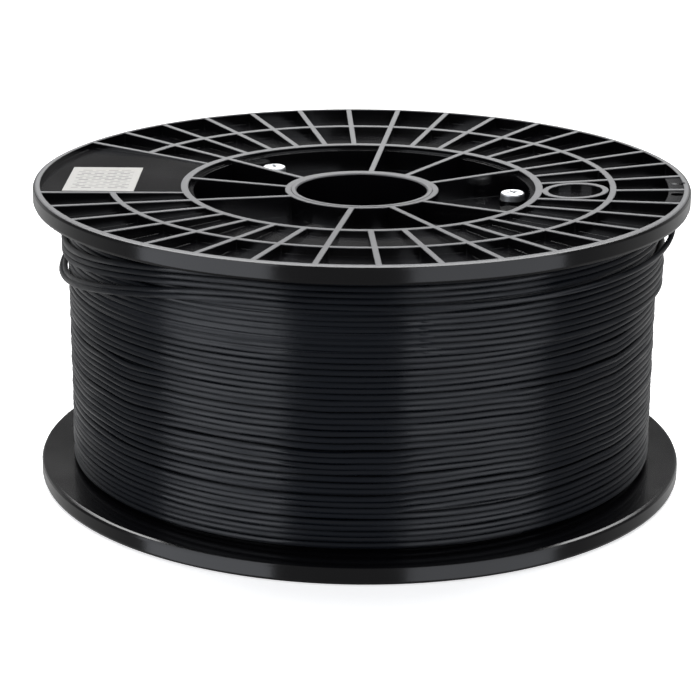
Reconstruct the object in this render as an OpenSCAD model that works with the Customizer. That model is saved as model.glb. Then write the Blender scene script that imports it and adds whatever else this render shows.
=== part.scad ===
// Filament spool, full: two ribbed flanges screwed to a barrel, a hub tube, a label
// and the wound filament with its free end threaded through the upper rim.

/* [Spool] */
// Diameter of both flanges
flange_d = 200; // [196:0.5:204]
// Width over the two rims
spool_w = 92; // [80:1:110]
// Outer diameter of the barrel that the filament is wound on
barrel_d = 110.6; // [108:0.2:112]
// Bore of the hub tube, for a spindle
bore_d = 40; // [36:0.5:41]

/* [Flange] */
// Height of the rim
rim_h = 5.4; // [5:0.1:6]
// Radial thickness of the rim
rim_t = 2.2; // [1.6:0.1:2.6]
// Thickness of the plate that faces the filament
plate_t = 1.8; // [1.4:0.1:2.2]
// Number of radial ribs
rib_n = 36; // [36]
// Thickness of a radial rib
rib_t = 1.7; // [1.2:0.1:2]
// Fall of the rib tops towards the hub, per millimetre of radius
dish = 0.05; // [0.03:0.005:0.055]
// Depth of the web around the hub, below the crest of the rim
web_depth = 10; // [9:0.5:11]
// Centre-line radius of the middle ring
mid_ring_r = 76.6; // [75:0.2:78]

/* [Fasteners] */
// Radius of the circle that the screws stand on
screw_circle_r = 47; // [46:0.2:47.4]
// Diameter of a screw head
screw_head_d = 7.4; // [6:0.2:7.6]
// Diameter of a screw shank
screw_d = 3.2; // [2.8:0.1:3.4]

/* [Filament] */
// Diameter of the filament
filament_d = 1.75; // [1.75]
// Outer diameter of the full winding
winding_d = 181; // [160:0.2:182]

/* [Label] */
// Radial length of the label
label_l = 21.6; // [16:0.2:24]
// Width of the label, across the panel
label_w = 30.2; // [20:0.2:32]

/* [Hidden] */
$fn = 180;

moulded_black = "#1b1c1f";
filament_black = "#14161b";
steel = "#d8dadd";
paper = "#eeeeee";

flange_r = flange_d / 2;
barrel_r = barrel_d / 2;
bore_r = bore_d / 2;
winding_r = winding_d / 2;
fit = 0.1;                          // radial gap of a seated part
crest_r = flange_r - rim_t + 0.2;   // the rib tops start to fall here
rim_edge = [0.3, 1];                // its outer edges are broken in two steps
rib_phase = 2.5;                    // angle of the first rib
rib_pitch = 360 / rib_n;

hub_tube_t = 1.6;
hub_tube_r = bore_r + hub_tube_t;
hub_socket_t = 1.8;
hub_r = hub_tube_r + fit + hub_socket_t;
hub_edge_chamfer = 0.4;

ring_t = 2.2;                       // wall of the barrel ring on the flange
mid_ring_t = 1.9;
barrel_t = 1.8;
barrel_in_r = barrel_r - barrel_t;
spigot_t = 1.8;
spigot_r = barrel_in_r - 2 * fit;
web_t = 2;
web_top = rim_h - web_depth;        // in the flange's own height
web_bottom = web_top - web_t;

spoke_steps = [2, 5, 8, 14, 17, 20, 26, 29, 32];  // ribs that run on to the hub

screw_phase = 6.7;
screw_n = 3;
screw_boss_r = 4.2;
screw_seat = web_top + 2.1;         // top of the raised seat under a head
screw_head_h = 2.2;
screw_edge = 0.7;                   // rounding of the head's upper edge
screw_l = 14;
screw_neck_h = 0.1;                 // overlap of shank and head
screw_point_h = 2;
screw_point_r = 0.4;
screw_turns = [18, 64, 41];         // how far each head is turned
screw_hole_r = screw_d / 2 + 0.25;
pilot_r = screw_d / 2 + 0.05;           // clearance of the threaded hole
recess_w = 0.9;
recess_l = 4;
recess_depth = 1.3;
column_r = 4;
column_rib_t = 2;

panel_from = rib_phase + 15 * rib_pitch;   // the smooth label panel, rib to rib
panel_to = rib_phase + 19 * rib_pitch;
panel_top = rim_h - 1.8;
panel_drop = 0.4;                   // how far its inner end stays below the rib tops
panel_inset = 0.5;                  // in degrees, where the ribs beside the panel stay whole
panel_sink = 0.1;                   // the ribs under it end this far below its surface

boss_r = 10;                        // round boss between the two rings
boss_t = 1.8;
boss_centre_r = 65.2;
boss_angle = rib_phase - rib_pitch;

post_r = 3;                         // short posts inside the barrel ring
post_centre_r = 50.6;
post_angles = [254, 330];
post_drop = 0.6;                    // below the rib tops

pad_in_r = 93.2;                    // block at the rim with the filament holes
pad_from = -16.5;
pad_to = 1.8;
pad_drop = 0.25;
tail_hole_r = 1;
tail_angle = -2.8;
tail_hole_radii = [95.2, 97.6];
wide_hole_r = 2;
wide_hole_angle = -10.4;
wide_hole_centre_r = 95.9;

label_t = 0.15;
label_x = -79.4;
label_y = 2.2;
label_turn = -0.6;

winding_gap = 0.15;                 // between the turns and a flange plate
top_layers_t = 2 * filament_d;
wind_bottom = rim_h + winding_gap;
wind_top = spool_w - rim_h - winding_gap;
start_hole_r = 1.2;
start_hole_z = rim_h + 4;
start_angle = 60;

last_turns_w = 9.6;                 // five turns side by side under the upper flange
crescent_w = 15;                    // looser turns below them, heaped up on one side
crescent_r = winding_r + 1.3;
crescent_shift = 1.1;
crescent_angle = 10;

tail_from = -62;                    // where the free end lifts off the winding
tail_z = wind_top - 8.9;
tail_bend_z = wind_top - 0.4;
tail_bend_h = 2;                    // height over which it straightens up in its hole
tail_tip_z = spool_w - 0.35;
tail_start_r = winding_r + 1.8;
tail_lift = 1.44;                   // how quickly it leaves the winding, as an exponent
tail_swing = 2.65;                  // how soon it comes round to its hole
tail_climb = 1.8;                   // how late it climbs
tail_sides = 8;
tail_steps = 24;

function top_at(r) = rim_h - dish * (crest_r - r);
function polar(r, a) = [r * cos(a), r * sin(a)];

// A ring about the axis with a square section
module band(r_in, r_out, z0, z1) {
    rotate_extrude() polygon([[r_in, z0], [r_out, z0], [r_out, z1], [r_in, z1]]);
}

// A slice of the plane between two angles, less than 90 degrees apart
module wedge(a0, a1, z0, z1, reach = 130) {
    translate([0, 0, z0]) linear_extrude(z1 - z0)
        polygon([[0, 0], polar(reach, a0), polar(reach, a1)]);
}

// Everything below the dished surface that the rib tops share
module dished_body() {
    rotate_extrude() polygon([
        [hub_tube_r + fit, web_bottom], [flange_r - 1, web_bottom],
        [flange_r - 1, rim_h], [crest_r, rim_h],
        [hub_tube_r + fit, top_at(hub_tube_r + fit)]]);
}

module rib(r0, r1, z0) {
    translate([r0, -rib_t / 2, z0]) cube([r1 - r0, rib_t, rim_h - z0]);
}

module ribs() {
    for (k = [0 : rib_n - 1])
        rotate(rib_phase + k * rib_pitch)
            rib(k == rib_n - 1 ? mid_ring_r : barrel_r - ring_t / 2,
                flange_r - rim_t / 2, plate_t / 2);
    for (k = spoke_steps)
        rotate(rib_phase + k * rib_pitch)
            rib(hub_r - hub_socket_t / 2, barrel_r - ring_t / 2, web_bottom + web_t / 2);
}

module flange_rings() {
    band(hub_tube_r + fit, hub_r, web_bottom, rim_h);
    band(barrel_r - ring_t, barrel_r, 0, rim_h);
    band(mid_ring_r - mid_ring_t / 2, mid_ring_r + mid_ring_t / 2, plate_t / 2, rim_h);
    translate(concat(polar(boss_centre_r, boss_angle), [plate_t / 2]))
        difference() {
            cylinder(r = boss_r, h = rim_h);
            translate([0, 0, plate_t / 2]) cylinder(r = boss_r - boss_t, h = rim_h);
        }
    for (a = post_angles)
        translate(concat(polar(post_centre_r, a), [web_top - web_t / 2]))
            cylinder(r = post_r,
                     h = top_at(post_centre_r) - post_drop - web_top + web_t / 2);
}

// The rim, with its crest and its foot eased on the outside
module rim() {
    rotate_extrude() polygon([
        [flange_r - rim_t, 0], [flange_r - rim_edge[1], 0],
        [flange_r - rim_edge[0], rim_edge[0]], [flange_r, rim_edge[1]],
        [flange_r, rim_h - rim_edge[1]], [flange_r - rim_edge[0], rim_h - rim_edge[0]],
        [flange_r - rim_edge[1], rim_h], [flange_r - rim_t, rim_h]]);
}

// Plate, spigot and the deeper web that reaches in to the hub
module floors() {
    band(spigot_r - spigot_t, flange_r - rim_t / 2, 0, plate_t);
    band(spigot_r - spigot_t, spigot_r, web_bottom, plate_t / 2);
    band(hub_tube_r + fit, spigot_r, web_bottom, web_top);
}

// Section of the panel's surface, outwards
panel_line = [
    [barrel_r - ring_t / 2, top_at(barrel_r - ring_t / 2) - panel_drop],
    [crest_r - (rim_h - panel_drop - panel_top) / dish, panel_top],
    [flange_r - rim_t / 2, panel_top]];

module label_panel() {
    intersection() {
        rotate_extrude() polygon(concat(panel_line, [
            [flange_r - rim_t / 2, plate_t / 2], [barrel_r - ring_t / 2, plate_t / 2]]));
        wedge(panel_from, panel_to, 0, rim_h);
    }
}

module rim_pad() {
    intersection() {
        rotate_extrude() polygon([
            [pad_in_r, plate_t / 2], [flange_r - rim_t / 2, plate_t / 2],
            [flange_r - rim_t / 2, rim_h - pad_drop],
            [pad_in_r, top_at(pad_in_r) - pad_drop]]);
        wedge(pad_from, pad_to, 0, rim_h);
    }
}

module at_screws() {
    for (k = [0 : screw_n - 1])
        rotate(screw_phase + k * 360 / screw_n)
            translate([screw_circle_r, 0, 0]) children();
}

// One flange moulding: winding face at height 0, ribs facing up
module flange() {
    difference() {
        union() {
            rim();
            floors();
            difference() {
                intersection() {
                    union() {
                        ribs();
                        flange_rings();
                    }
                    dished_body();
                }
                // the middle ring and the ribs stop at the smooth panel
                intersection() {
                    translate([0, 0, -panel_sink]) rotate_extrude() polygon(concat(panel_line, [
                        [flange_r - rim_t / 2, rim_h + 1], [barrel_r - ring_t / 2, rim_h + 1]]));
                    band(barrel_r, flange_r - rim_t, 0, rim_h + 1);
                    wedge(panel_from + panel_inset, panel_to - panel_inset, 0, rim_h + 1);
                }
            }
            label_panel();
            rim_pad();
            at_screws() translate([0, 0, web_bottom / 2 + web_top / 2])
                cylinder(r = screw_boss_r, h = screw_seat - web_top + web_t / 2);
        }
        at_screws() translate([0, 0, web_bottom - 1])
            cylinder(r = screw_hole_r, h = web_depth);
        for (r = tail_hole_radii)
            translate(concat(polar(r, tail_angle), [-1]))
                cylinder(r = tail_hole_r, h = rim_h + 2);
        translate(concat(polar(wide_hole_centre_r, wide_hole_angle), [-1]))
            cylinder(r = wide_hole_r, h = rim_h + 2);
    }
}

module upper_side() {
    translate([0, 0, spool_w - rim_h]) children();
}

// The same part turned over about the line through the first screw
module lower_side() {
    translate([0, 0, rim_h]) rotate(screw_phase) rotate([180, 0, 0])
        rotate(-screw_phase) children();
}

module upper_flange() {
    color(moulded_black) upper_side() flange();
}

module lower_flange() {
    color(moulded_black) lower_side() flange();
}

// Tube between the plates, with a screw column under each screw
module core_barrel() {
    column_bottom = rim_h - web_bottom;
    column_top = spool_w - rim_h + web_bottom;
    color(moulded_black) difference() {
        union() {
            band(barrel_in_r, barrel_r, rim_h, spool_w - rim_h);
            translate([0, 0, column_bottom]) at_screws() {
                cylinder(r = column_r, h = column_top - column_bottom);
                translate([0, -column_rib_t / 2, 0])
                    cube([barrel_in_r + barrel_t / 2 - screw_circle_r, column_rib_t,
                          column_top - column_bottom]);
            }
        }
        translate([0, 0, column_bottom - 1]) at_screws()
            cylinder(r = pilot_r, h = screw_l + 1);
        translate([0, 0, column_top - screw_l]) at_screws()
            cylinder(r = pilot_r, h = screw_l + 1);
        rotate(start_angle) translate([barrel_in_r - 1, 0, start_hole_z])
            rotate([0, 90, 0]) cylinder(r = start_hole_r, h = barrel_t + 2);
    }
}

// Tube from hub ring to hub ring, its edges broken
module hub_tube() {
    z0 = rim_h - top_at(hub_r);
    z1 = spool_w - z0;
    c = hub_edge_chamfer;
    color(moulded_black) rotate_extrude() polygon([
        [bore_r + c, z0], [hub_tube_r, z0], [hub_tube_r, z1],
        [bore_r + c, z1], [bore_r, z1 - c], [bore_r, z0 + c]]);
}

// Pan-head screw, its seat at height 0 and its shank downwards
module screw() {
    head_r = screw_head_d / 2;
    color(steel) difference() {
        union() {
            rotate_extrude() polygon([
                [0, 0], [head_r, 0], [head_r, screw_head_h - screw_edge],
                [head_r - 0.3 * screw_edge, screw_head_h - 0.3 * screw_edge],
                [head_r - screw_edge, screw_head_h], [0, screw_head_h]]);
            rotate_extrude() polygon([
                [0, screw_neck_h], [screw_d / 2, screw_neck_h],
                [screw_d / 2, screw_point_h - screw_l],
                [screw_point_r, -screw_l], [0, -screw_l]]);
        }
        for (a = [0, 90])
            rotate(a) translate([-recess_l / 2, -recess_w / 2, screw_head_h - recess_depth])
                cube([recess_l, recess_w, recess_depth + 1]);
    }
}

module screw_at(k) {
    rotate(screw_phase + k * 360 / screw_n)
        translate([screw_circle_r, 0, screw_seat]) rotate(screw_turns[k]) screw();
}

module label() {
    color(paper) translate([label_x, label_y, spool_w - rim_h + panel_top])
        rotate(label_turn) translate([-label_l / 2, -label_w / 2, 0])
            cube([label_l, label_w, label_t]);
}

// The inner layers as one solid, with the start of the filament in the barrel
module filament_pack() {
    color(filament_black) {
        band(barrel_r, winding_r - top_layers_t, wind_bottom, wind_top);
        rotate(start_angle) translate([barrel_in_r - 1, 0, start_hole_z])
            rotate([0, 90, 0]) cylinder(r = filament_d / 2, h = barrel_t + 4);
    }
}

module filament_top_layers() {
    color(filament_black) band(winding_r - top_layers_t, winding_r, wind_bottom, wind_top);
}

module filament_last_turns() {
    last_z = wind_top - last_turns_w;
    color(filament_black) {
        band(winding_r, winding_r + filament_d, last_z, wind_top);
        difference() {
            translate(concat(polar(crescent_shift, crescent_angle), [last_z - crescent_w]))
                cylinder(r = crescent_r, h = crescent_w);
            cylinder(r = winding_r, h = spool_w);
        }
    }
}

// Centre line of the free end: it climbs off the winding and turns up into its hole
function tail_curve(t) =
    let (share = 1 - pow(1 - t, tail_swing),
         a = tail_from + (tail_angle - tail_from) * share,
         r = tail_hole_radii[0] - (tail_hole_radii[0] - tail_start_r) * pow(1 - share, tail_lift))
    concat(polar(r, a), [tail_z + (tail_bend_z - tail_z) * pow(t, tail_climb)]);

tail_path = concat(
    [for (i = [0 : tail_steps]) tail_curve(i / tail_steps)],
    [for (z = [tail_bend_z + tail_bend_h, tail_tip_z]) concat(polar(tail_hole_radii[0], tail_angle), [z])]);

function unit(v) = v / norm(v);
function tail_tangent(i) =
    let (n = len(tail_path) - 1)
    unit(tail_path[min(i + 1, n)] - tail_path[max(i - 1, 0)]);
function tail_side(i) = unit(cross(tail_tangent(i), concat(polar(1, tail_angle), [0])));

// A round tube swept along the centre line
module filament_tail() {
    n = len(tail_path);
    rings = [for (i = [0 : n - 1], j = [0 : tail_sides - 1])
        let (s = tail_side(i),
             u = cross(tail_tangent(i), s),
             a = 360 * j / tail_sides)
        tail_path[i] + filament_d / 2 * (cos(a) * s + sin(a) * u)];
    sides = [for (i = [0 : n - 2], j = [0 : tail_sides - 1])
        let (k = (j + 1) % tail_sides)
        [i * tail_sides + j, i * tail_sides + k,
         (i + 1) * tail_sides + k, (i + 1) * tail_sides + j]];
    near_cap = [for (j = [tail_sides - 1 : -1 : 0]) j];
    far_cap = [for (j = [0 : tail_sides - 1]) (n - 1) * tail_sides + j];
    color(filament_black) polyhedron(rings, concat(sides, [near_cap, far_cap]));
}

upper_flange();
lower_flange();
core_barrel();
hub_tube();
upper_side() screw_at(0);  // upper_screw_1
upper_side() screw_at(1);  // upper_screw_2
upper_side() screw_at(2);  // upper_screw_3
lower_side() screw_at(0);  // lower_screw_1
lower_side() screw_at(1);  // lower_screw_2
lower_side() screw_at(2);  // lower_screw_3
label();
filament_pack();
filament_top_layers();
filament_last_turns();
filament_tail();
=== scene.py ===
import math
import random
import bpy
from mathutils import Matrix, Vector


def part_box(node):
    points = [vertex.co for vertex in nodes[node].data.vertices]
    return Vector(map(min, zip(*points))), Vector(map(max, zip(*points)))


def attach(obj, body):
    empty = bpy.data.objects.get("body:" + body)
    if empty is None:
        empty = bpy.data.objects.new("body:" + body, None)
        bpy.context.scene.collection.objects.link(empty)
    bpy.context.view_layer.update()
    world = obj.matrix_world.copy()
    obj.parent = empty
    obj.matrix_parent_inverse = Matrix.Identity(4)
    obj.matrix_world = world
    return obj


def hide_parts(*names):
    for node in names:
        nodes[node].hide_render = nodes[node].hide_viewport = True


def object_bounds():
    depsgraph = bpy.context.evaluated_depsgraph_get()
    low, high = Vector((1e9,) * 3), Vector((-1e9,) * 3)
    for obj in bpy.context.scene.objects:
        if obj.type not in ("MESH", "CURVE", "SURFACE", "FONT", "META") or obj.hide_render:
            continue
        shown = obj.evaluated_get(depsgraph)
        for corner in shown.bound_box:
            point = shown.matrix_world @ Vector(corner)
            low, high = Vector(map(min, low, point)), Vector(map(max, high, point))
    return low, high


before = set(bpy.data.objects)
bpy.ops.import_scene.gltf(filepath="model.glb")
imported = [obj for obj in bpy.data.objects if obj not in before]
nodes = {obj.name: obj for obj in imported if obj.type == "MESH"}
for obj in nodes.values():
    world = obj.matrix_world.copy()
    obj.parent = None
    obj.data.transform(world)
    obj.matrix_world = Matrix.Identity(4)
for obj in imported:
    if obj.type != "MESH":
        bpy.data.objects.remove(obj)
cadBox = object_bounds()

mm = 0.001


def hexColour(text):
    # sRGB hex to linear RGBA
    parts = [int(text[i:i + 2], 16) / 255 for i in (1, 3, 5)]
    linear = [p / 12.92 if p <= 0.04045 else ((p + 0.055) / 1.055) ** 2.4 for p in parts]
    return (*linear, 1.0)


def addNode(tree, kind, settings=None, links=None):
    node = tree.nodes.new(kind)
    for name, value in (settings or {}).items():
        if hasattr(node, name):
            setattr(node, name, value)
        else:
            node.inputs[name].default_value = value
    for name, source in (links or {}).items():
        tree.links.new(source, node.inputs[name])
    return node


def polar(radius, degrees, height):
    turn = math.radians(degrees)
    return (radius * math.cos(turn), radius * math.sin(turn), height)


def ease(t):
    t = min(max(t, 0.0), 1.0)
    return t * t * (3 - 2 * t)


view = {
    "elevation": 18.026,        # degrees above the horizon
    "distance": 725.55 * mm,
    "target": (-3.264 * mm, 0.0, 36.317 * mm),
    "roll": 0.387,              # degrees
    "lens": 119.02,
}


def makeCamera():
    data = bpy.data.cameras.new("camera")
    camera = bpy.data.objects.new("camera", data)
    bpy.context.scene.collection.objects.link(camera)
    rise = math.radians(view["elevation"])
    tx, ty, tz = view["target"]
    camera.location = (tx, ty - view["distance"] * math.cos(rise),
                       tz + view["distance"] * math.sin(rise))
    camera.rotation_euler = (math.pi / 2 - rise, 0, 0)
    camera.rotation_euler.rotate_axis("Z", math.radians(view["roll"]))
    data.lens = view["lens"]
    data.sensor_width = 36
    data.clip_start = 0.01
    data.clip_end = 20
    bpy.context.scene.camera = camera


studio = {
    "left": {"azimuth": -54.0, "span": 49.0, "low": -45.0, "high": 50.0, "glow": 1.3},
    "right": {"azimuth": 43.0, "span": 54.0, "low": -45.0, "high": 50.0, "glow": 1.0},
    "away": 1.5,                # distance of the soft boxes from the axis
    "tint": (0.90, 0.93, 1.0),
    "room": 0.17,               # glow of the room on the camera's side
    "turnover": (-0.2, 0.5),    # where it gives way to the glow behind, from side to back
    # glow behind the object: sine of the elevation, then strength
    "behind": ((-1.0, 0.34), (-0.06, 0.34), (0.06, 0.09), (0.36, 0.11), (1.0, 0.25)),
    # glow left and right behind the object: the directions over which it rises, then its strength
    "flank": {"aside": (0.2, 0.45), "behind": (0.35, 0.75), "glow": 0.2},
    "bank": {"rise": 57.0, "inner": 24.0, "outer": 34.0, "glow": 5.8},   # light high at the back
}


def softBox(name, azimuth, span, low, high, glow):
    # an upright panel of light; the azimuth is measured from the camera's side
    away = studio["away"]
    turn = math.radians(azimuth)
    bottom = away * math.tan(math.radians(low))
    top = away * math.tan(math.radians(high))
    width = 2 * away * math.tan(math.radians(span / 2))
    data = bpy.data.lights.new(name, "AREA")
    data.shape = "RECTANGLE"
    data.size = width
    data.size_y = top - bottom
    data.energy = glow * math.pi * width * (top - bottom)
    data.color = studio["tint"]
    lamp = bpy.data.objects.new(name, data)
    bpy.context.scene.collection.objects.link(lamp)
    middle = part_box("hub_tube")[1].z / 2
    lamp.location = (away * math.sin(turn), -away * math.cos(turn), middle + (top + bottom) / 2)
    lamp.rotation_euler = (math.pi / 2, 0, turn)
    lamp.visible_camera = False


def makeWorld():
    world = bpy.data.worlds.new("studio")
    bpy.context.scene.world = world
    world.use_nodes = True
    tree = world.node_tree
    tree.nodes.clear()
    coords = addNode(tree, "ShaderNodeTexCoord")
    split = addNode(tree, "ShaderNodeSeparateXYZ", links={0: coords.outputs["Generated"]})
    front, back = studio["turnover"]
    share = addNode(tree, "ShaderNodeMapRange",
                    {"interpolation_type": "SMOOTHSTEP", "From Min": front, "From Max": back},
                    {"Value": split.outputs["Y"]})
    height = addNode(tree, "ShaderNodeMapRange", {"From Min": -1.0, "From Max": 1.0},
                     {"Value": split.outputs["Z"]})
    sweep = addNode(tree, "ShaderNodeValToRGB", links={"Fac": height.outputs[0]})
    stops = sweep.color_ramp.elements
    while len(stops) < len(studio["behind"]):
        stops.new(0.5)
    for stop, (sine, strength) in zip(stops, studio["behind"]):
        stop.position = (sine + 1) / 2
        stop.color = (strength, strength, strength, 1.0)
    both = addNode(tree, "ShaderNodeMix", {"data_type": "RGBA"},
                   {0: share.outputs[0], 7: sweep.outputs[0]})
    both.inputs[6].default_value = (studio["room"], studio["room"], studio["room"], 1.0)
    # a soft glow to the left and right behind the object, which lines the winding's edges
    flank = studio["flank"]
    aside = addNode(tree, "ShaderNodeMath", {"operation": "ABSOLUTE"}, {0: split.outputs["X"]})
    ramps = [addNode(tree, "ShaderNodeMapRange",
                     {"interpolation_type": "SMOOTHSTEP", "From Min": near, "From Max": far,
                      "To Max": flank["glow"] ** 0.5},
                     {"Value": source})
             for source, (near, far) in ((aside.outputs[0], flank["aside"]),
                                         (split.outputs["Y"], flank["behind"]))]
    lit = addNode(tree, "ShaderNodeMath", {"operation": "MULTIPLY"},
                  {0: ramps[0].outputs[0], 1: ramps[1].outputs[0]})
    bank = studio["bank"]
    rise = math.radians(bank["rise"])
    aim = addNode(tree, "ShaderNodeVectorMath", {"operation": "DOT_PRODUCT"},
                  {0: coords.outputs["Generated"]})
    aim.inputs[1].default_value = (0, math.cos(rise), math.sin(rise))
    patch = addNode(tree, "ShaderNodeMapRange",
                    {"interpolation_type": "SMOOTHSTEP",
                     "From Min": math.cos(math.radians(bank["outer"])),
                     "From Max": math.cos(math.radians(bank["inner"])),
                     "To Min": 0.0, "To Max": bank["glow"]},
                    {"Value": aim.outputs["Value"]})
    upper = addNode(tree, "ShaderNodeMath", {"operation": "ADD"},
                    {0: both.outputs[2], 1: patch.outputs[0]})
    total = addNode(tree, "ShaderNodeMath", {"operation": "ADD"},
                    {0: upper.outputs[0], 1: lit.outputs[0]})
    glow = addNode(tree, "ShaderNodeBackground", {"Color": (1, 1, 1, 1)},
                   {"Strength": total.outputs[0]})
    seen = addNode(tree, "ShaderNodeBackground", {"Color": (1, 1, 1, 1), "Strength": 1.0})
    path = addNode(tree, "ShaderNodeLightPath")
    mix = addNode(tree, "ShaderNodeMixShader",
                  links={0: path.outputs["Is Camera Ray"], 1: glow.outputs[0],
                         2: seen.outputs[0]})
    addNode(tree, "ShaderNodeOutputWorld", links={"Surface": mix.outputs[0]})


ground = {
    "radius": 4.0,
    "below": 0.2 * mm,
    "paper": (0.93, 0.97),      # how much light the paper gives back, over its grain
    "fill": 0.62,               # its own glow, so that no grey shadow is left on it
}


def makeFloor():
    bpy.ops.mesh.primitive_circle_add(vertices=96, radius=ground["radius"], fill_type="NGON",
                                      location=(0, 0, -ground["below"]))
    floor = bpy.context.object
    floor.name = "floor"
    mat = bpy.data.materials.new("white_paper_sweep")
    mat.use_nodes = True
    tree = mat.node_tree
    tree.nodes.clear()
    coords = addNode(tree, "ShaderNodeTexCoord")
    grain = addNode(tree, "ShaderNodeTexNoise", {"Scale": 60.0, "Detail": 3.0},
                    {"Vector": coords.outputs["Object"]})
    low, high = ground["paper"]
    tone = addNode(tree, "ShaderNodeMapRange", {"To Min": low, "To Max": high},
                   {"Value": grain.outputs[0]})
    colour = addNode(tree, "ShaderNodeCombineColor",
                     links={0: tone.outputs[0], 1: tone.outputs[0], 2: tone.outputs[0]})
    paper = addNode(tree, "ShaderNodeBsdfDiffuse", links={"Color": colour.outputs[0]})
    fill = addNode(tree, "ShaderNodeEmission",
                   {"Color": (1, 1, 1, 1), "Strength": ground["fill"]})
    both = addNode(tree, "ShaderNodeAddShader", links={0: paper.outputs[0], 1: fill.outputs[0]})
    addNode(tree, "ShaderNodeOutputMaterial", links={"Surface": both.outputs[0]})
    floor.data.materials.append(mat)
    floor.visible_glossy = False
    floor.visible_diffuse = False
    floor.visible_shadow = False


def newMaterial(name):
    mat = bpy.data.materials.new(name)
    mat.use_nodes = True
    tree = mat.node_tree
    tree.nodes.clear()
    return mat, tree


# the dished surface that the rib tops share, and how far down they get the rubbed satin finish
# and the painted highlight
dish = {"crest": 98 * mm, "slope": 0.05, "wornAndHighlit": 0.32 * mm, "sharp": 0.05 * mm}


def ribTops(tree, place):
    # 1 on the tops of the ribs and rings, which share a dished surface, and 0 below them; this
    # mask places the rubbed finish and the painted highlight
    middle = (cadBox[0].z + cadBox[1].z) / 2
    split = addNode(tree, "ShaderNodeSeparateXYZ", links={0: place})
    flat = addNode(tree, "ShaderNodeCombineXYZ",
                   links={0: split.outputs["X"], 1: split.outputs["Y"]})
    out = addNode(tree, "ShaderNodeVectorMath", {"operation": "LENGTH"}, {0: flat.outputs[0]})
    fall = addNode(tree, "ShaderNodeMapRange",
                   {"From Min": 0.0, "From Max": dish["crest"],
                    "To Min": middle - dish["slope"] * dish["crest"], "To Max": middle},
                   {"Value": out.outputs["Value"]})
    up = addNode(tree, "ShaderNodeMath", {"operation": "SUBTRACT"}, {0: split.outputs["Z"]})
    up.inputs[1].default_value = middle
    high = addNode(tree, "ShaderNodeMath", {"operation": "ABSOLUTE"}, {0: up.outputs[0]})
    gap = addNode(tree, "ShaderNodeMath", {"operation": "SUBTRACT"},
                  {0: high.outputs[0], 1: fall.outputs[0]})
    return addNode(tree, "ShaderNodeMapRange",
                   {"interpolation_type": "SMOOTHSTEP", "From Min": -dish["wornAndHighlit"],
                    "From Max": -dish["sharp"]},
                   {"Value": gap.outputs[0]}).outputs[0]


plastic = {
    "smooth": (0.08, 0.20),     # roughness as moulded
    "rubbedAndHighlit": 0.5,              # and on the rib tops
    "tones": ("#070708", "#0d0c0f"),
    # painted highlight: the rib tops are coloured this lighter grey where they catch the light
    "tops": "#5c5c5e",
    "wearAndHighlight": (0.75, 1.15),       # how unevenly the tops are rubbed and given the painted highlight
    "edge": 0.35 * mm,
    "skin": 0.05 * mm,
}


def mouldedPlastic():
    # injection-moulded black polystyrene: glossy, rubbed to a satin finish on the rib tops, which
    # also carry a painted highlight in a lighter grey
    mat, tree = newMaterial("moulded_black_polystyrene")
    coords = addNode(tree, "ShaderNodeTexCoord")
    place = coords.outputs["Object"]
    skin = addNode(tree, "ShaderNodeTexNoise", {"Scale": 900.0, "Detail": 3.0, "Roughness": 0.6},
                   {"Vector": place})
    flow = addNode(tree, "ShaderNodeTexNoise", {"Scale": 45.0, "Detail": 4.0}, {"Vector": place})
    scuffAndHighlight = addNode(tree, "ShaderNodeTexNoise", {"Scale": 320.0, "Detail": 5.0},
                    {"Vector": place})
    tops = ribTops(tree, place)
    low, high = plastic["wearAndHighlight"]
    rubbedAndHighlit = addNode(tree, "ShaderNodeMapRange", {"To Min": low, "To Max": high},
                     {"Value": scuffAndHighlight.outputs[0]})
    wornAndHighlit = addNode(tree, "ShaderNodeMath", {"operation": "MULTIPLY", "use_clamp": True},
                   {0: tops, 1: rubbedAndHighlit.outputs[0]})
    low, high = plastic["smooth"]
    smooth = addNode(tree, "ShaderNodeMapRange", {"To Min": low, "To Max": high},
                     {"Value": flow.outputs[0]})
    rough = addNode(tree, "ShaderNodeMix", {"data_type": "FLOAT"},
                    {0: wornAndHighlit.outputs[0], 2: smooth.outputs[0]})
    rough.inputs[3].default_value = plastic["rubbedAndHighlit"]
    tone = addNode(tree, "ShaderNodeMix", {"data_type": "RGBA"}, {0: flow.outputs[0]})
    tone.inputs[6].default_value = hexColour(plastic["tones"][0])
    tone.inputs[7].default_value = hexColour(plastic["tones"][1])
    # painted highlight: the rib tops are coloured a lighter grey
    colour = addNode(tree, "ShaderNodeMix", {"data_type": "RGBA"},
                     {0: wornAndHighlit.outputs[0], 6: tone.outputs[2]})
    colour.inputs[7].default_value = hexColour(plastic["tops"])
    edge = addNode(tree, "ShaderNodeBevel", {"samples": 4, "Radius": plastic["edge"]})
    bump = addNode(tree, "ShaderNodeBump", {"Strength": 0.12, "Distance": plastic["skin"]},
                   {"Height": skin.outputs[0], "Normal": edge.outputs[0]})
    shader = addNode(tree, "ShaderNodeBsdfPrincipled", {"IOR": 1.57},
                     {"Base Color": colour.outputs[2], "Roughness": rough.outputs[0],
                      "Normal": bump.outputs[0]})
    addNode(tree, "ShaderNodeOutputMaterial", links={"Surface": shader.outputs[0]})
    return mat


strandSkin = {
    "rough": (0.16, 0.52),
    "tones": ("#0d1016", "#14181f"),
    "streaks": (3.6, 560.0),    # to the radian and to the metre: 25 mm long, on single turns
}


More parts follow.
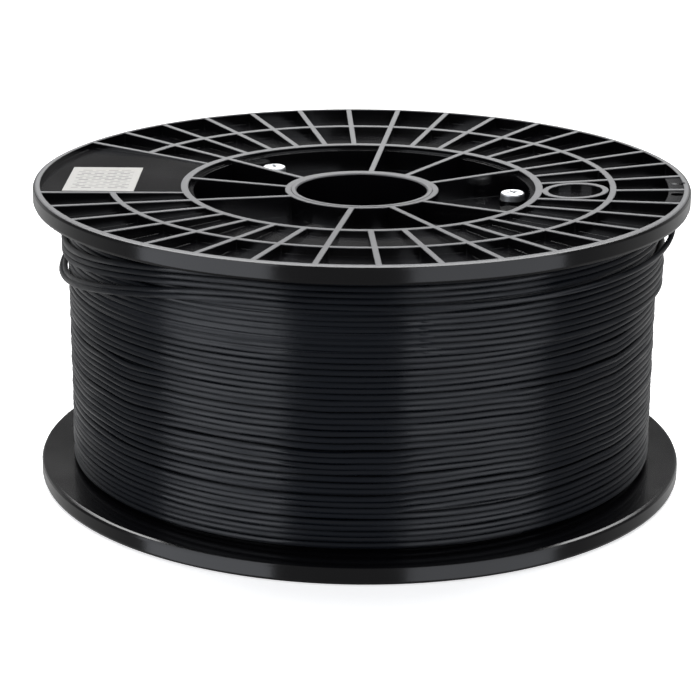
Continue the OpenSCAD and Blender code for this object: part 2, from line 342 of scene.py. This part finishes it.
def extrudedFilament():
    # extruded black ABS strand: a smooth, glossy die-drawn skin with a blue cast
    mat, tree = newMaterial("extruded_black_abs")
    coords = addNode(tree, "ShaderNodeTexCoord")
    place = coords.outputs["Object"]
    split = addNode(tree, "ShaderNodeSeparateXYZ", links={0: place})
    away = addNode(tree, "ShaderNodeMath", {"operation": "MULTIPLY"}, {0: split.outputs["Y"]})
    away.inputs[1].default_value = -1.0
    turn = addNode(tree, "ShaderNodeMath", {"operation": "ARCTAN2"},
                   {0: split.outputs["X"], 1: away.outputs[0]})
    unrolled = addNode(tree, "ShaderNodeCombineXYZ",
                       links={0: turn.outputs[0], 1: split.outputs["Z"]})
    streak = addNode(tree, "ShaderNodeMapping", {"Scale": (*strandSkin["streaks"], 1.0)},
                     {"Vector": unrolled.outputs[0]})
    draw = addNode(tree, "ShaderNodeTexNoise", {"Scale": 1.0, "Detail": 3.0},
                   {"Vector": streak.outputs[0]})
    low, high = strandSkin["rough"]
    rough = addNode(tree, "ShaderNodeMapRange",
                    {"From Min": 0.3, "From Max": 0.7, "To Min": low, "To Max": high},
                    {"Value": draw.outputs[0]})
    tone = addNode(tree, "ShaderNodeMix", {"data_type": "RGBA"}, {0: draw.outputs[0]})
    tone.inputs[6].default_value = hexColour(strandSkin["tones"][0])
    tone.inputs[7].default_value = hexColour(strandSkin["tones"][1])
    # fine die lines run along the strand, so gloss spreads across it and stays sharp along it
    around = addNode(tree, "ShaderNodeTangent", {"direction_type": "RADIAL", "axis": "Z"})
    shader = addNode(tree, "ShaderNodeBsdfPrincipled",
                     {"IOR": 1.54, "Anisotropic": 1.0, "Anisotropic Rotation": 0.25},
                     {"Base Color": tone.outputs[2], "Roughness": rough.outputs[0],
                      "Tangent": around.outputs[0]})
    addNode(tree, "ShaderNodeOutputMaterial", links={"Surface": shader.outputs[0]})
    return mat


screw = {"rough": (0.36, 0.56), "tones": ("#d2d5d8", "#f1f2f3")}


def platedSteel():
    # zinc-plated steel screw: bright, slightly cloudy
    mat, tree = newMaterial("zinc_plated_steel")
    coords = addNode(tree, "ShaderNodeTexCoord")
    cloud = addNode(tree, "ShaderNodeTexNoise", {"Scale": 700.0, "Detail": 4.0},
                    {"Vector": coords.outputs["Object"]})
    low, high = screw["rough"]
    rough = addNode(tree, "ShaderNodeMapRange", {"To Min": low, "To Max": high},
                    {"Value": cloud.outputs[0]})
    tone = addNode(tree, "ShaderNodeMix", {"data_type": "RGBA"}, {0: cloud.outputs[0]})
    tone.inputs[6].default_value = hexColour(screw["tones"][0])
    tone.inputs[7].default_value = hexColour(screw["tones"][1])
    shader = addNode(tree, "ShaderNodeBsdfPrincipled", {"Metallic": 1.0},
                     {"Base Color": tone.outputs[2], "Roughness": rough.outputs[0]})
    addNode(tree, "ShaderNodeOutputMaterial", links={"Surface": shader.outputs[0]})
    return mat


label = {
    "middle": [(a + b) / 2 for a, b in zip(*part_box("label"))],
    "turn": -0.6,               # degrees
    "print": (8.6, 12.6),       # half the printed field, in millimetres
    "block": (4.0, 2.0, 0.6),   # length, pitch and spacing of the printed blocks
    "tones": ("#a3a29e", "#b3b1ad"),
    "ink": "#757473",
}


def labelPaper():
    # coated label paper: matt white with a little fibre, and plain faded grey print blocks
    mat, tree = newMaterial("coated_label_paper")
    coords = addNode(tree, "ShaderNodeTexCoord")
    fibre = addNode(tree, "ShaderNodeTexNoise", {"Scale": 1500.0, "Detail": 4.0},
                    {"Vector": coords.outputs["Object"]})
    tone = addNode(tree, "ShaderNodeMix", {"data_type": "RGBA"}, {0: fibre.outputs[0]})
    tone.inputs[6].default_value = hexColour(label["tones"][0])
    tone.inputs[7].default_value = hexColour(label["tones"][1])
    centred = addNode(tree, "ShaderNodeMapping", {"vector_type": "TEXTURE"},
                      {"Vector": coords.outputs["Object"]})
    centred.inputs["Location"].default_value = label["middle"]
    centred.inputs["Rotation"].default_value = (0, 0, math.radians(label["turn"]))
    centred.inputs["Scale"].default_value = (mm, mm, mm)
    length, pitch, space = label["block"]
    blocks = addNode(tree, "ShaderNodeTexBrick",
                     {"Scale": 1.0, "Brick Width": length, "Row Height": pitch,
                      "Mortar Size": space, "Mortar Smooth": 0.2, "Bias": -0.3},
                     {"Vector": centred.outputs[0]})
    blocks.inputs["Color1"].default_value = (1, 1, 1, 1)
    blocks.inputs["Color2"].default_value = (0.1, 0.1, 0.1, 1)
    blocks.inputs["Mortar"].default_value = (0, 0, 0, 1)
    split = addNode(tree, "ShaderNodeSeparateXYZ", links={0: centred.outputs[0]})
    ink = blocks.outputs["Color"]
    for axis, half in zip(("X", "Y"), label["print"]):
        out = addNode(tree, "ShaderNodeMath", {"operation": "ABSOLUTE"},
                      {0: split.outputs[axis]})
        inside = addNode(tree, "ShaderNodeMath", {"operation": "LESS_THAN"},
                         {0: out.outputs[0]})
        inside.inputs[1].default_value = half
        ink = addNode(tree, "ShaderNodeMath", {"operation": "MULTIPLY"},
                      {0: ink, 1: inside.outputs[0]}).outputs[0]
    printed = addNode(tree, "ShaderNodeMix", {"data_type": "RGBA"}, {0: ink, 6: tone.outputs[2]})
    printed.inputs[7].default_value = hexColour(label["ink"])
    bump = addNode(tree, "ShaderNodeBump", {"Strength": 0.2, "Distance": 0.02 * mm},
                   {"Height": fibre.outputs[0]})
    shader = addNode(tree, "ShaderNodeBsdfPrincipled", {"IOR": 1.5, "Roughness": 0.55},
                     {"Base Color": printed.outputs[2], "Normal": bump.outputs[0]})
    addNode(tree, "ShaderNodeOutputMaterial", links={"Surface": shader.outputs[0]})
    return mat


def give(obj, mat):
    obj.data.materials.clear()
    obj.data.materials.append(mat)


winding = {
    "strand": 1.75 * mm,
    "bottom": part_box("filament_pack")[0].z,
    "top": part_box("filament_pack")[1].z,
    "radius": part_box("filament_top_layers")[1].x,       # outside of the even layers
    "steps": 144,               # points in one turn
    "turns": 44,
    "slack": 2.0 * mm,          # what the layer leaves free of its space
    "gaps": 90,                 # places where two turns stand a little apart
    "gapHalf": (0.018, 0.05),   # half their length, in turns
    "gapWidth": (0.2, 0.7),     # in millimetres
    # longer gaps on the camera's side: turn, half length in turns, width
    "wide": [(27.85, 0.12, 0.8 * mm), (24.66, 0.07, 0.5 * mm), (17.7, 0.08, 0.4 * mm),
             (34.75, 0.09, 0.6 * mm), (31.68, 0.06, 0.5 * mm), (8.75, 0.08, 0.5 * mm)],
    "shift": 0.4 * mm,          # the even layer stands out a little more on the right
    "sway": 0.16 * mm,          # how much a turn wanders in and out and up and down
    "bends": 11,                # places in one turn where it does so
    "seed": 7,
}


def strandPiece(name, points, mat, sides=8):
    # a round strand along the points, with closed ends
    curve = bpy.data.curves.new(name, "CURVE")
    curve.dimensions = "3D"
    curve.bevel_depth = winding["strand"] / 2
    curve.bevel_resolution = sides // 2 - 2
    curve.use_fill_caps = True
    run = curve.splines.new("POLY")
    run.points.add(len(points) - 1)
    for place, point in zip(run.points, points):
        place.co = (*point, 1.0)
    obj = bpy.data.objects.new(name, curve)
    bpy.context.scene.collection.objects.link(obj)
    bpy.ops.object.select_all(action="DESELECT")
    obj.select_set(True)
    bpy.context.view_layer.objects.active = obj
    bpy.ops.object.convert(target="MESH")
    obj = bpy.context.object
    bpy.ops.object.shade_smooth()
    give(obj, mat)
    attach(obj, "root")
    return obj


def windingGaps():
    # where a turn stands off its neighbour: turn, half length in turns, width
    pick = random.Random(winding["seed"])
    gaps = [(pick.uniform(1, winding["turns"] - 2), pick.uniform(*winding["gapHalf"]),
             pick.uniform(*winding["gapWidth"]) * mm) for _ in range(winding["gaps"])]
    return gaps + winding["wide"]


def wander(seed, turns):
    # a smooth random line from -1 to 1, as a function of the turn
    pick = random.Random(seed)
    knots = [pick.uniform(-1, 1) for _ in range(math.ceil(turns * winding["bends"]) + 2)]

    def at(turn):
        place = turn * winding["bends"]
        k = int(place)
        return knots[k] + (knots[k + 1] - knots[k]) * ease(place - k)
    return at


def outerLayer(mat):
    gaps = windingGaps()
    d = winding["strand"]
    outwards = wander(winding["seed"] + 1, winding["turns"])
    upwards = wander(winding["seed"] + 2, winding["turns"])
    radius = winding["radius"] - d / 2 - winding["sway"]
    points = []
    for i in range(winding["turns"] * winding["steps"] + 1):
        turn = i / winding["steps"]
        rise = 0.0
        for at, half, width in gaps:
            apart = turn - at
            whole = round(apart)
            if whole >= 1 and abs(apart - whole) < half * 2:
                rise += width * ease(2 - abs(apart - whole) / half)
        height = winding["bottom"] + d / 2 + d * turn + min(rise, winding["slack"])
        height += winding["sway"] * upwards(turn) * min(1.0, turn, winding["turns"] - turn)
        out = winding["sway"] * outwards(turn) + winding["shift"] * math.cos(math.tau * turn)
        points.append(polar(radius + out, 360 * turn, height))
    piece = strandPiece("filament_outer_layer", points, mat)
    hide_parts("filament_top_layers")


def underLayer(mat):
    d = winding["strand"]
    radius = winding["radius"] - 1.5 * d
    steps = winding["steps"] // 2
    count = winding["turns"] + 1
    points = [polar(radius, -360 * i / steps, winding["bottom"] + d / 2 + d * i / steps)
              for i in range((count - 1) * steps + 1)]
    piece = strandPiece("filament_under_layer", points, mat, sides=6)
    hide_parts("filament_top_layers")


lastTurns = {
    "count": 4.45,
    "radius": winding["radius"] + 0.5 * mm,     # centre line
    "heap": (3.4, 4.0),         # turns between which the last one climbs on the one before
    "belly": (1.0 * mm, 1.0 * mm),   # outwards and upwards
    "parting": (2.3, 3.05),     # turns between which they start to slip fully
    "upper": 0.69,              # share of the slip above the parting
    "start": 136.0,             # hidden at the back
    "droop": 13.7 * mm,         # how far the band slips down on its far left
    "from": 252.0,              # angles between which it slips
    "to": 185.0,
    "back": (150.0, 40.0),
    "lead": 36.0,               # degrees over which the last turn lifts off into the free end
}

tail = {
    "from": -62.0,              # angle at which it lifts off
    "hole": (95.2 * mm, -2.8),  # radius and angle
    "start": (winding["radius"] + 1.8 * mm, winding["top"] - 8.9 * mm),
    "lift": 1.44,               # how quickly it leaves the winding, as an exponent
    "swing": 2.65,              # how soon it comes round to its hole
    "climb": 1.8,               # how late it climbs
    "bend": winding["top"] - 0.4 * mm,      # here it turns up into its hole
    "upright": winding["top"] + 1.6 * mm,   # and from here it stands upright
    "tip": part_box("filament_tail")[1].z,
    "steps": 60,
}


def slip(degrees):
    # share of the slip at an angle from 0 to 360
    a = degrees % 360
    if a > lastTurns["to"]:
        return ease((lastTurns["from"] - a) / (lastTurns["from"] - lastTurns["to"]))
    near, far = lastTurns["back"]
    return ease((a - far) / (near - far))


def lastBand():
    d = winding["strand"]
    steps = winding["steps"]
    count = round(lastTurns["count"] * steps)
    last = lastTurns["start"] + 360 * lastTurns["count"]
    radius, height = tail["start"]
    points = []
    for i in range(count + 1):
        turn = i / steps
        a = lastTurns["start"] + 360 * turn
        sag = slip(a)
        z = winding["top"] - d / 2 - d * turn
        early, late = lastTurns["parting"]
        loose = ease((turn - early) / (late - early))
        z -= lastTurns["droop"] * sag * (lastTurns["upper"] + (1 - lastTurns["upper"]) * loose)
        early, late = lastTurns["heap"]
        heaped = sag * ease((turn - early) / (late - early))
        z += lastTurns["belly"][1] * heaped
        r = lastTurns["radius"] + lastTurns["belly"][0] * heaped
        off = ease(1 - (last - a) / lastTurns["lead"])
        points.append(polar(r + (radius - r) * off, a, z + (height - z) * off))
    return points


crescent = {
    "top": winding["top"] - 9.4 * mm,
    "turns": 7,
    "angle": 8.0,               # where they stand off most
    "sunk": 1.4 * mm,           # how deep they lie in the even layer elsewhere
    "stand": 2.9 * mm,
    "fullness": 0.6,            # below 1, they stand off over more of the side
    "lean": 1.2 * mm,           # how far they hang down there
}


def looseTurns():
    # turns that come out of the even layer on the right, lie proud there and go back
    d = winding["strand"]
    steps = winding["steps"]
    sunk = winding["radius"] - crescent["sunk"]
    outwards = wander(winding["seed"] + 3, crescent["turns"])
    upwards = wander(winding["seed"] + 4, crescent["turns"])
    points = []
    for i in range(crescent["turns"] * steps + 1):
        turn = i / steps
        a = 180 + crescent["angle"] - 360 * turn
        side = max(0.0, math.cos(math.radians(a - crescent["angle"])))
        sway = winding["sway"] * side
        height = crescent["top"] - d / 2 - d * turn
        height -= crescent["lean"] * side * (turn / crescent["turns"])
        out = crescent["stand"] * side ** crescent["fullness"] + sway * outwards(turn)
        points.append(polar(sunk + out, a, height + sway * upwards(turn)))
    return points


def tailPoints():
    radius, angle = tail["hole"]
    points = []
    for i in range(tail["steps"] + 1):
        t = i / tail["steps"]
        share = 1 - (1 - t) ** tail["swing"]
        r = radius - (radius - tail["start"][0]) * (1 - share) ** tail["lift"]
        z = tail["start"][1] + (tail["bend"] - tail["start"][1]) * t ** tail["climb"]
        points.append(polar(r, tail["from"] + (angle - tail["from"]) * share, z))
    points += [polar(radius, angle, tail["upright"]), polar(radius, angle, tail["tip"])]
    return points


def makeWinding(mat):
    outerLayer(mat)
    underLayer(mat)
    band = strandPiece("filament_last_turns_band", lastBand(), mat)
    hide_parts("filament_last_turns")
    loose = strandPiece("filament_loose_turns", looseTurns(), mat)
    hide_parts("filament_last_turns")
    end = strandPiece("filament_free_end", tailPoints(), mat)
    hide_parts("filament_tail")
    give(nodes["filament_pack"], mat)
    print("winding made")


makeCamera()
softBox("soft_box_left", **studio["left"])
softBox("soft_box_right", **studio["right"])
makeWorld()
makeFloor()
print("studio made")

blackPlastic = mouldedPlastic()
filament = extrudedFilament()
steel = platedSteel()
paper = labelPaper()
for name in ("upper_flange", "lower_flange", "core_barrel", "hub_tube"):
    give(nodes[name], blackPlastic)
for name in nodes:
    if "screw" in name:
        give(nodes[name], steel)
give(nodes["label"], paper)
print("materials made")

makeWinding(filament)

scene = bpy.context.scene
scene.view_settings.view_transform = "Standard"
